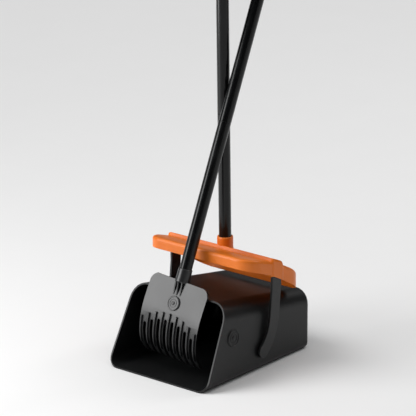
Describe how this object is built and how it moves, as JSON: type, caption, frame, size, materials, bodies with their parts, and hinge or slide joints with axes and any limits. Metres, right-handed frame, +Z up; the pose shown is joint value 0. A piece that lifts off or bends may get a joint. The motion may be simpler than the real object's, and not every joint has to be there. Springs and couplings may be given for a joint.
{
  "type": "dust pan and rake set",
  "caption": "Long-handled swivel scoop: open-mouthed bin, hood on two pivoting arms that closes over the mouth, and a long tined rake stored in it.",
  "frame": {"origin": "centre of the bin's flat underside, on the floor", "axes": "+Z up along the pan's upright handle; the open mouth faces -Y; +X is the side the rake leans to"},
  "size_m": [0.2078, 0.3258, 0.8649],
  "materials": {
    "bin_plastic": "satin moulded polypropylene, black",
    "frame_plastic": "satin moulded nylon, black",
    "rake_plastic": "satin moulded polypropylene, black",
    "hood_plastic": "satin moulded polypropylene, orange",
    "tube_coating": "powder-coated steel tube, satin black",
    "grip_rubber": "matt moulded grip",
    "zinc_steel": "zinc-plated steel"
  },
  "bodies": {
    "bin": {"bin_shell": "bin_plastic"},
    "handle": {"arm_left": "frame_plastic", "arm_right": "frame_plastic", "hood": "hood_plastic", "hood_screw_left": "zinc_steel", "hood_screw_right": "zinc_steel", "pivot_screw_left": "zinc_steel", "pivot_screw_right": "zinc_steel", "pivot_washer_left": "zinc_steel", "pivot_washer_right": "zinc_steel", "pan_socket_screw": "zinc_steel", "pan_tube_lower": "tube_coating", "pan_coupler_lower": "frame_plastic", "pan_tube_middle": "tube_coating", "pan_coupler_upper": "frame_plastic", "pan_tube_upper": "tube_coating", "pan_grip": "grip_rubber", "pan_hang_cap": "frame_plastic"},
    "rake": {"rake_head": "rake_plastic", "rake_socket_screw": "zinc_steel", "rake_tube_lower": "tube_coating", "rake_coupler_lower": "frame_plastic", "rake_tube_middle": "tube_coating", "rake_coupler_upper": "frame_plastic", "rake_tube_upper": "tube_coating", "rake_grip": "grip_rubber", "rake_hang_cap": "frame_plastic"}
  },
  "joints": [
    {"name": "handle_swing", "type": "hinge", "parent": "bin", "child": "handle", "pos_m": [0, 0.0085, 0.0295], "axis": [1, 0, 0], "range_deg": [0, 86]},
    {"name": "rake_lift", "type": "slide", "parent": "bin", "child": "rake", "axis": [0.5, -0.75, 0.433], "range_m": [0, 0.452]}
  ],
  "couplings": [
    {"joint": "rake_lift", "follows": "handle_swing", "m_per_rad": 0.3}
  ]
}
